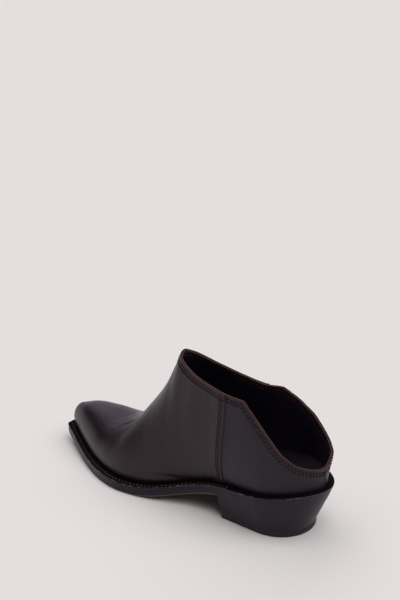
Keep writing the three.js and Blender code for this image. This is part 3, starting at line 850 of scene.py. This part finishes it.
for build, slot in (
    (build_vamp, "upper_leather"),
    (build_quarter, "upper_leather"),
    (build_lining, "lining_leather"),
    (build_rim, "upper_leather"),
):
    finish_piece(build(), slot, "upper")

# Stitches
BEAD_REACH = 0.4  # along a line to either side, for its direction
AROUND = 6
ALONG = np.linspace(-1, 1, 7)
TIP = 0.03  # least share of a thread's section, at its ends
NO_NORMAL = (0.31, 0.57, 0.76)  # a direction that no normal shares
BACK_TIP = 0.02
# Grids on which the rows are traced: stations along, and shares up each section
RIM_SEW_AT = spread([0.462, (COLLAR_AT, 70), (0.86, 130), (0.91, 90), (1, 130)])
RIM_SEW_UP = np.linspace(0.55, 1, 130)
SEAM_SEW_AT = np.linspace(0.77, SEAM_AT, 120)
SEAM_SEW_UP = np.linspace(0.015, 1, 220)
TACK_UP = np.linspace(0.5, 1, 80)
BACK_UP = np.linspace(0.03, 0.99, 60)


def contour(points, n, away, distance):
    """Where each row of a grid, read from its end backwards, reaches a distance from the edge there."""
    points, n, away = (g[:, ::-1] for g in (points, n, away))
    over = away >= distance
    k = over.argmax(1)
    keep = np.nonzero(over.any(1) & (k > 0))[0]
    k = k[keep]
    before, after = away[keep, k - 1], away[keep, k]
    s = ((distance - before) / (after - before))[:, None]
    mixed = [g[keep, k - 1] * (1 - s) + g[keep, k] * s for g in (points, n)]
    return mixed[0], unit(mixed[1])


def beads(line, n, pitch):
    """Even places along a line: centres, directions and normals, and the holes between with theirs."""
    run = np.concatenate([[0], np.cumsum(np.linalg.norm(np.diff(line, axis=0), axis=1))])
    count = max(1, int(run[-1] / pitch))
    at = (np.arange(count) + 0.5) * run[-1] / count
    pick = lambda values, where: np.stack([np.interp(where, run, values[:, k]) for k in range(3)], 1)
    tangent = unit(pick(line, at + BEAD_REACH) - pick(line, at - BEAD_REACH))
    normal = unit(pick(n, at))
    holes = np.arange(count + 1) * run[-1] / count
    return pick(line, at), tangent, normal, pick(line, holes), unit(pick(n, holes))


def threads(centre, tangent, normal, length, half=THREAD_HALF):
    """One short, slightly arched and tilted thread at each place, as a list of grids."""
    side = np.cross(normal, tangent)
    way = tangent * math.cos(THREAD_TILT) + side * math.sin(THREAD_TILT)
    side = np.cross(normal, way)
    thick = half * np.sqrt(np.clip(1 - ALONG ** 2, TIP, 1))
    arch = half * (THREAD_ARCH[0] - THREAD_ARCH[1] * ALONG ** 2)
    turn = 2 * math.pi * np.arange(AROUND + 1) / AROUND
    grid = centre[:, None, None] + way[:, None, None] * (ALONG * length / 2)[None, :, None, None]
    rise = arch[:, None] + thick[:, None] * np.sin(turn)
    grid = grid + normal[:, None, None] * rise[None, ..., None]
    grid = grid + side[:, None, None] * (thick[:, None] * np.cos(turn))[None, ..., None]
    return [(g, True) for g in grid]


def circles(first, second, sides):
    """Unit circles in the planes of two arrays of directions."""
    turn = 2 * math.pi * np.arange(sides + 1) / sides
    return first[:, None] * np.cos(turn)[None, :, None] + second[:, None] * np.sin(turn)[None, :, None]


def hole_shades(places, normal):
    """Small dark discs where a thread dives into the leather: painted shade of the stitch holes."""
    first = unit(np.cross(normal, NO_NORMAL))
    flat = circles(first, np.cross(normal, first), HOLE_SIDES)
    rings = []
    for share, rise in HOLE_PROFILE:
        rings.append(places[:, None] + flat * HOLE_RADIUS * share + normal[:, None] * rise)
    return [(g, False) for g in np.stack(rings, 2)]


thread_grids, hole_shade_grids = [], []


def sew(line, n):
    centre, tangent, normal, holes, hole_normal = beads(line, n, PITCH)
    thread_grids.extend(threads(centre, tangent, normal, PITCH * THREAD_SHARE))
    hole_shade_grids.extend(hole_shades(holes, hole_normal))


def sew_inside(line, n):
    """The underside of a row, where only small loops show."""
    centre, tangent, normal = beads(line, n, PITCH)[:3]
    thread_grids.extend(threads(centre, tangent, normal, PITCH * LOOP_SHARE, LOOP_HALF))


def sew_rim(side):
    """Two rows below the rim, outside and inside."""
    points, n, from_rim, _ = skin(side, RIM_SEW_AT, RIM_SEW_UP)
    plain_points = surface(side, RIM_SEW_AT, RIM_SEW_UP)
    for distance in RIM_ROWS:
        line, normal = contour(points, n, from_rim, distance)
        sew(line, normal)
        line, normal = contour(plain_points, n, from_rim, distance)
        sew_inside(line - normal * (WALL - LOOP_SINK), -normal)


def sew_seam(side):
    """Two rows along the vamp's edge, up to the rim's rows."""
    points, n, _, from_seam = skin(side, SEAM_SEW_AT, SEAM_SEW_UP)
    for distance in SEAM_ROWS:
        turned = [np.swapaxes(g, 0, 1) for g in (points, n, from_seam)]
        line, normal = contour(*turned, distance)
        clear = distance_to(RIM_LINE, line[:, None])[:, 0] > RIM_ROWS[1] + ROW_CLEAR
        sew(line[clear], normal[clear])


def sew_tack():
    """The back tack: upright threads on the inner side of the back seam, over both rows."""
    points, n, from_rim, _ = skin(1, TACK_AT, TACK_UP)
    for distance in TACK_ROWS:
        place, normal = contour(points, n, from_rim, distance)
        upright = unit(np.array([0.0, 0.0, 1.0]) - normal * normal[:, 2:3])
        thread_grids.extend(threads(place, upright, normal, TACK_LENGTH))


def back_tube():
    """A thin dark tube, closed off at its ends, down the back seam in the middle plane: painted shade in
    the seam's joint.
    """
    line = surface(1, np.array([1.0]), BACK_UP)[0]
    run = unit(np.gradient(line, axis=0))
    side = np.tile((0.0, 1.0, 0.0), (len(line), 1))
    thick = BACK_SEAM_HALF * np.ones(len(line))
    thick[[0, -1]] = BACK_TIP
    return line[:, None] + circles(side, np.cross(side, run), AROUND) * thick[:, None, None]


def sew_welt():
    """One row on top of the welt, from the waist round the toe and back."""
    edge = sole_inset(lambda x: WELT_ROW * welt_show(x), WELT_ROW * SHOW_TOE, SHOW_HEEL)
    halves = {s: edge.side(s, WELT_ROW_STEPS) for s in (1, -1)}
    flat = np.concatenate([halves[1][::-1], halves[-1][1:]])
    flat = flat[flat[:, 0] > WELT_ROW_START]
    x = flat[:, 0]
    slope = (welt_top(x + 1) - welt_top(x - 1)) / 2
    n = unit(np.stack([-slope, np.zeros_like(x), np.ones_like(x)], 1))
    line = np.column_stack([flat, welt_top(x)]) - n * WELT_GROOVE
    centre, tangent, normal, holes, hole_normal = beads(line, n, WELT_PITCH)
    sewn = threads(centre, tangent, normal, WELT_PITCH * WELT_THREAD_SHARE, WELT_THREAD_HALF)
    return sewn, hole_shades(holes, hole_normal)


for side in (1, -1):
    sew_rim(side)
    sew_seam(side)
sew_tack()
finish_piece(mesh_of("stitches", thread_grids, THREAD), "upper_leather", "upper")
finish_piece(mesh_of("stitch_hole_shades", hole_shade_grids, HOLE_SHADE), "upper_leather", "upper")
welt_sewn, welt_hole_shades = sew_welt()
finish_piece(mesh_of("welt_stitches", welt_sewn, WELT_THREAD), "welt_leather", "welt")
finish_piece(mesh_of("welt_stitch_hole_shades", welt_hole_shades, HOLE_SHADE), "welt_leather", "welt")
finish_piece(mesh_of("back_seam", [(back_tube(), False)], SEAM_SHADE), "upper_leather", "upper")

# Sole
RING_STEPS = (6, 14, 220, 90)
BEVEL_FADE = 4.0
BARE_LINE = (84.0, 192.0)  # stretch of the sole's lower edge where the bare leather shows
JOINT = 0.02  # between pieces that lie on each other
GROOVE_REACH = (0.3, 0.8)  # of the groove's floor and of its sides, from the stitches
GROOVE_FADE = 8.0
# The welt's outer edge: inset, depth below the top for the lean, and height above the outsole's underside
WELT_EDGE = [
    (1.2, WELT, OUTSOLE + JOINT), (0.06, WELT, OUTSOLE + JOINT), (0.0, WELT - 0.3, OUTSOLE + 0.3),
    (0.0, 0.9, SOLE_EDGE - 0.9), (0.08, 0.4, SOLE_EDGE - 0.4), (0.3, 0.15, SOLE_EDGE - 0.12),
    (0.7, 0.0, SOLE_EDGE),
]
INNER_FOOT = OUTSOLE + 0.05
# Bands of the welt: sole finish on the edge, the painted glint on its rounded top edge, then the top in
# near-black stain with painted shade
WELT_STRIPS = [0, 0, 0, 0, 2, 1, 1, 1, 1, 1, 1, 1]
# The outsole's edge in the same way, with its bevel as inset
OUTSOLE_EDGE = [
    (3.0, SOLE_EDGE, 0.0), (0.5, SOLE_EDGE, 0.0), (0.12, SOLE_EDGE - 0.2, 0.2),
    (0.0, SOLE_EDGE - 0.8, 0.8), (0.0, SOLE_EDGE - 2.5, 2.5), (0.0, WELT + 0.3, OUTSOLE - 0.3),
    (0.06, WELT, OUTSOLE - JOINT),
]
OUTSOLE_STRIPS = [2, 0, 0, 0, 0, 0]
INSOLE_GAP = 0.25
INSOLE_SIDE = FOOTBED_TOE - 0.6  # height of the footbed's upright side
INSOLE_EDGE = [(0.25, 0.55), (0.4, 0.15), (0.75, 0.0)]  # gap to the wall and drop below its top
INSOLE_DISH = [(0.88, 0.25), (0.65, 0.6), (0.35, 0.85)]  # share of its width and depth of the hollow
INSOLE_MIDDLE = 0.45  # of the sole's length
DISH_SHORTENING = 0.25
FOOT_ROUND_SHARE = 0.45
FOOT_ROUND_POWER = 1.97
FOOT_NARROWING = 0.025
FOOT_NARROWING_START = 0.3
HEEL_BANDS = 25
LIFT_EDGE = [(0.5, 0.0), (0.1, 0.3), (0.0, 0.8), (0.0, LIFT - 0.25), (0.1, LIFT)]  # inset and height


def swept(name, rings, materials, strips=None, paint=None, closed=False, caps=False):
    """Mesh through rings of points, bottom to top and out to in; strips numbers each band's material."""
    n = len(rings[0])
    count = len(rings)
    points = np.stack(rings, 1)
    faces = grid_faces(n, count, closed=True).tolist()
    strips = [0] * (count - 1) if strips is None else strips
    slots = np.tile(strips, (n, 1))
    if paint:
        band, start, end, number = paint
        x = points[:, band, 0]
        slots[(x > start) & (x < end), band] = number
    slots = slots.ravel().tolist()
    if closed:
        last = count - 1
        for i in range(n):
            j = (i + 1) % n
            faces.append((i * count + last, i * count, j * count, j * count + last)[::-1])
            slots.append(strips[0])
    points = points.reshape(-1, 3)
    if caps:
        for ring, up in ((rings[0], False), (rings[-1], True)):
            start = len(points)
            points = np.concatenate([points, ring])
            for i in range(n // 2):
                quad = [start + k for k in dict.fromkeys((i, i + 1, (n - i - 1) % n, (n - i) % n))]
                faces.append(quad if up else quad[::-1])
                slots.append(strips[-1] if up else strips[0])
    return make_mesh(name, points, faces, materials, slots)


def level(offset):
    return lambda x: sole_lift(x) + offset


def free_edge(x):
    """1 where the sole's lower edge is free, 0 where it stands on the heel."""
    return smooth((np.asarray(x, float) - HEEL_LENGTH + BEVEL_FADE / 2) / BEVEL_FADE)


def build_welt():
    inner = sole_inset(
        lambda x: welt_show(x) + WALL, SHOW_TOE + WALL, SHOW_HEEL + WALL, FEATHER_CORNER - WALL,
    )

    def from_stitches(shift, height):
        edge = sole_inset(
            lambda x: WELT_ROW * welt_show(x) + shift,
            WELT_ROW * SHOW_TOE + shift,
            WELT_ROW * SHOW_HEEL + shift,
        )
        return edge.ring(height, RING_STEPS)

    def groove(x):
        return welt_top(x) - WELT_GROOVE * smooth((x - WELT_ROW_START + GROOVE_FADE) / GROOVE_FADE)

    bottom, side = GROOVE_REACH
    rings = [leaning(inset, depth).ring(level(height), RING_STEPS) for inset, depth, height in WELT_EDGE]
    rings += [
        from_stitches(-side, welt_top),
        from_stitches(-bottom, groove),
        from_stitches(bottom, groove),
        from_stitches(side, welt_top),
        inner.ring(welt_top, RING_STEPS),
        inner.ring(level(INNER_FOOT), RING_STEPS),
    ]
    return swept("welt_strip", rings, [SOLE_FINISH, WELT_TOP_STAIN_AND_SHADE, WELT_GLINT], WELT_STRIPS, closed=True)


def build_outsole():
    def ring(bevel, depth, height):
        edge = leaning(lambda x: bevel * free_edge(x), depth, bevel, 0.0)
        return edge.ring(level(height), RING_STEPS)

    rings = [ring(*row) for row in OUTSOLE_EDGE]
    pale_patch = (2, *BARE_LINE, 1)
    return swept("outsole_leather", rings, [SOLE_FINISH, SOLE_LINE, TREAD], OUTSOLE_STRIPS, pale_patch, caps=True)


def footbed_rise(x):
    return FOOTBED_HEEL + (FOOTBED_TOE - FOOTBED_HEEL) * fade(x, *FOOTBED_FADE)


def footbed_spread(x):
    """How far the footbed's upper edge stands outside its lower one."""
    return mix(LEAN_HEEL, LEAN_WAIST, fade(x, *WAIST_FADE)) * (footbed_rise(x) - FOOTBED_TOE)


def build_insole():
    def top_height(x):
        return sole_lift(x) + OUTSOLE + footbed_rise(x)

    def ring(gap, drop, spread_share=1):
        edge = sole_inset(
            lambda x: welt_show(x) + WALL + gap - spread_share * footbed_spread(x),
            SHOW_TOE + WALL + gap,
            SHOW_HEEL + WALL + gap - spread_share * footbed_spread(0),
            FEATHER_CORNER - WALL - gap,
        )
        return edge.ring(lambda x: top_height(x) - drop, RING_STEPS)

    def at_height(height):
        out = ring(INSOLE_GAP, 0, 0)
        out[:, 2] = sole_lift(out[:, 0]) + OUTSOLE + height
        return out

    def narrowed(ring, share, sink):
        centre = SOLE_LENGTH * INSOLE_MIDDLE
        out = ring.copy()
        out[:, 0] = centre + (ring[:, 0] - centre) * (1 - DISH_SHORTENING * (1 - share))
        out[:, 1] *= share
        out[:, 2] = top_height(out[:, 0]) - sink
        return out

    rings = [at_height(0), at_height(INSOLE_SIDE), *(ring(*row) for row in INSOLE_EDGE)]
    rings += [narrowed(rings[-1], *row) for row in INSOLE_DISH]
    return swept("insole_sock", rings, INSOLE_LEATHER, caps=True)


def heel_foot_half(x):
    share = (np.asarray(x) - HEEL_UNDERCUT) / HEEL_FOOT_LENGTH
    return HEEL_FOOT_WIDTH / 2 * (1 - FOOT_NARROWING * smooth(share - FOOT_NARROWING_START))


def heel_foot_ring(inset, height):
    edge = Edge(
        HEEL_UNDERCUT + inset,
        HEEL_UNDERCUT + HEEL_FOOT_LENGTH - inset,
        lambda x, side: heel_foot_half(x) - inset,
        HEEL_CORNER,
        HEEL_UNDERCUT + FOOT_ROUND_SHARE * HEEL_FOOT_LENGTH,
        FOOT_ROUND_POWER,
    )
    return edge.ring(lambda x: np.full_like(x, height), RING_STEPS)


def build_heel():
    seat_edge = leaning(0, SOLE_EDGE)
    seat_edge.front = HEEL_LENGTH
    seat_edge.corner = HEEL_CORNER
    seat = seat_edge.ring(level(-JOINT), RING_STEPS)
    foot = heel_foot_ring(0.0, LIFT + JOINT)
    rings = [mix(foot, seat, t) for t in np.linspace(0, 1, HEEL_BANDS)]
    return swept("heel_stack", rings, SOLE_FINISH, caps=True)


def build_lift():
    return swept("lift", [heel_foot_ring(*row) for row in LIFT_EDGE], LIFT_RUBBER, caps=True)


SOLE_PIECES = [
    (build_welt, "welt_leather", "welt"),
    (build_outsole, "sole_leather", "outsole"),
    (build_insole, "lining_leather", "insole"),
    (build_heel, "heel_stack", "heel"),
    (build_lift, "lift_rubber", "top_lift"),
]
for build, slot, node_name in SOLE_PIECES:
    finish_piece(build(), slot, node_name)

# Floor
FLOOR_COLOR = (0.80, 0.807, 0.692, 1.0)
FLOOR_REACH = 40.0
CORNERS = [(-1, -1), (1, -1), (1, 1), (-1, 1)]
floor_mesh = bpy.data.meshes.new("floor")
floor_mesh.from_pydata([(x * FLOOR_REACH, y * FLOOR_REACH, 0) for x, y in CORNERS], [], [(0, 1, 2, 3)])
floor_mesh.materials.append(plain("floor", FLOOR_COLOR, 1.0, 0.0))
floor = bpy.data.objects.new("floor", floor_mesh)
bpy.context.scene.collection.objects.link(floor)

# Camera, at the photograph's angle; its frame is 400 x 600
CAMERA_POS = (-0.3220791, 0.4942848, 0.3919499)
CAMERA_RIGHT = (-0.79, -0.6126, -0.0259)
CAMERA_UP = (0.2219, -0.325, 0.9193)
CAMERA_VIEW = (0.5716, -0.7205, -0.3927)
FOCAL_SHARE = 892.78 / 600
SHIFT_UP = 49.985 / 600
SENSOR = 36.0
CLIP = (0.05, 200.0)
camera_data = bpy.data.cameras.new("camera")
camera_data.sensor_width = SENSOR
camera_data.lens = SENSOR * FOCAL_SHARE
camera_data.shift_y = SHIFT_UP
camera_data.clip_start, camera_data.clip_end = CLIP
camera = bpy.data.objects.new("camera", camera_data)
bpy.context.scene.collection.objects.link(camera)
columns = [CAMERA_RIGHT, CAMERA_UP, tuple(-v for v in CAMERA_VIEW)]
turned = Matrix(columns).transposed().to_4x4()
turned.translation = CAMERA_POS
camera.matrix_world = turned
bpy.context.scene.camera = camera

# Studio light: a dim bluish room, a pale wall low down all round, and soft boxes
ROOM = (0.018, 0.020, 0.030)
BOX_COLOR = (1.0, 0.935, 1.08)
BOX_REACH = 38.0  # degrees from a box's middle to where its light ends
SOFT_BOXES = [(0, 62, 1.2), (180, 62, 3.6), (320, 35, 0.9)]  # azimuth and elevation in degrees, radiance
HORIZON = (0.70, 0.665, 0.66)
HORIZON_FADE = (6.5, 9.5)  # degrees of elevation over which the pale wall ends


def vector_math(tree, operation, first, second):
    """A vector sum of an output and either another output or a plain vector."""
    made = tree.nodes.new("ShaderNodeVectorMath")
    made.operation = operation
    tree.links.new(first, made.inputs[0])
    if isinstance(second, tuple):
        made.inputs[1].default_value = second
    else:
        tree.links.new(second, made.inputs[1])
    return made.outputs["Value" if operation == "DOT_PRODUCT" else "Vector"]


def build_world():
    world = bpy.data.worlds.new("studio")
    world.use_nodes = True
    tree = world.node_tree
    sky = tree.nodes.new("ShaderNodeTexCoord").outputs["Generated"]

    def faded(dot, start, end, value):
        fade = tree.nodes.new("ShaderNodeMapRange")
        fade.interpolation_type = "SMOOTHSTEP"
        for k, stop in enumerate((start, end, 0.0, value)):
            fade.inputs[k + 1].default_value = stop
        tree.links.new(dot, fade.inputs[0])
        return fade.outputs[0]

    low, high = (math.sin(math.radians(e)) for e in HORIZON_FADE)
    height = vector_math(tree, "DOT_PRODUCT", sky, (0, 0, -1))
    wall = vector_math(tree, "MULTIPLY", faded(height, -high, -low, 1.0), HORIZON)
    total = vector_math(tree, "ADD", wall, ROOM)
    for azimuth, elevation, radiance in SOFT_BOXES:
        a, e = math.radians(azimuth), math.radians(elevation)
        middle = (math.cos(a) * math.cos(e), math.sin(a) * math.cos(e), math.sin(e))
        toward = vector_math(tree, "DOT_PRODUCT", sky, middle)
        box = faded(toward, math.cos(math.radians(BOX_REACH)), 1.0, radiance)
        total = vector_math(tree, "ADD", vector_math(tree, "MULTIPLY", box, BOX_COLOR), total)
    background = tree.nodes["Background"]
    tree.links.new(total, background.inputs[0])
    background.inputs[1].default_value = 1.0
    bpy.context.scene.world = world


build_world()
bpy.context.scene.view_settings.view_transform = "Standard"
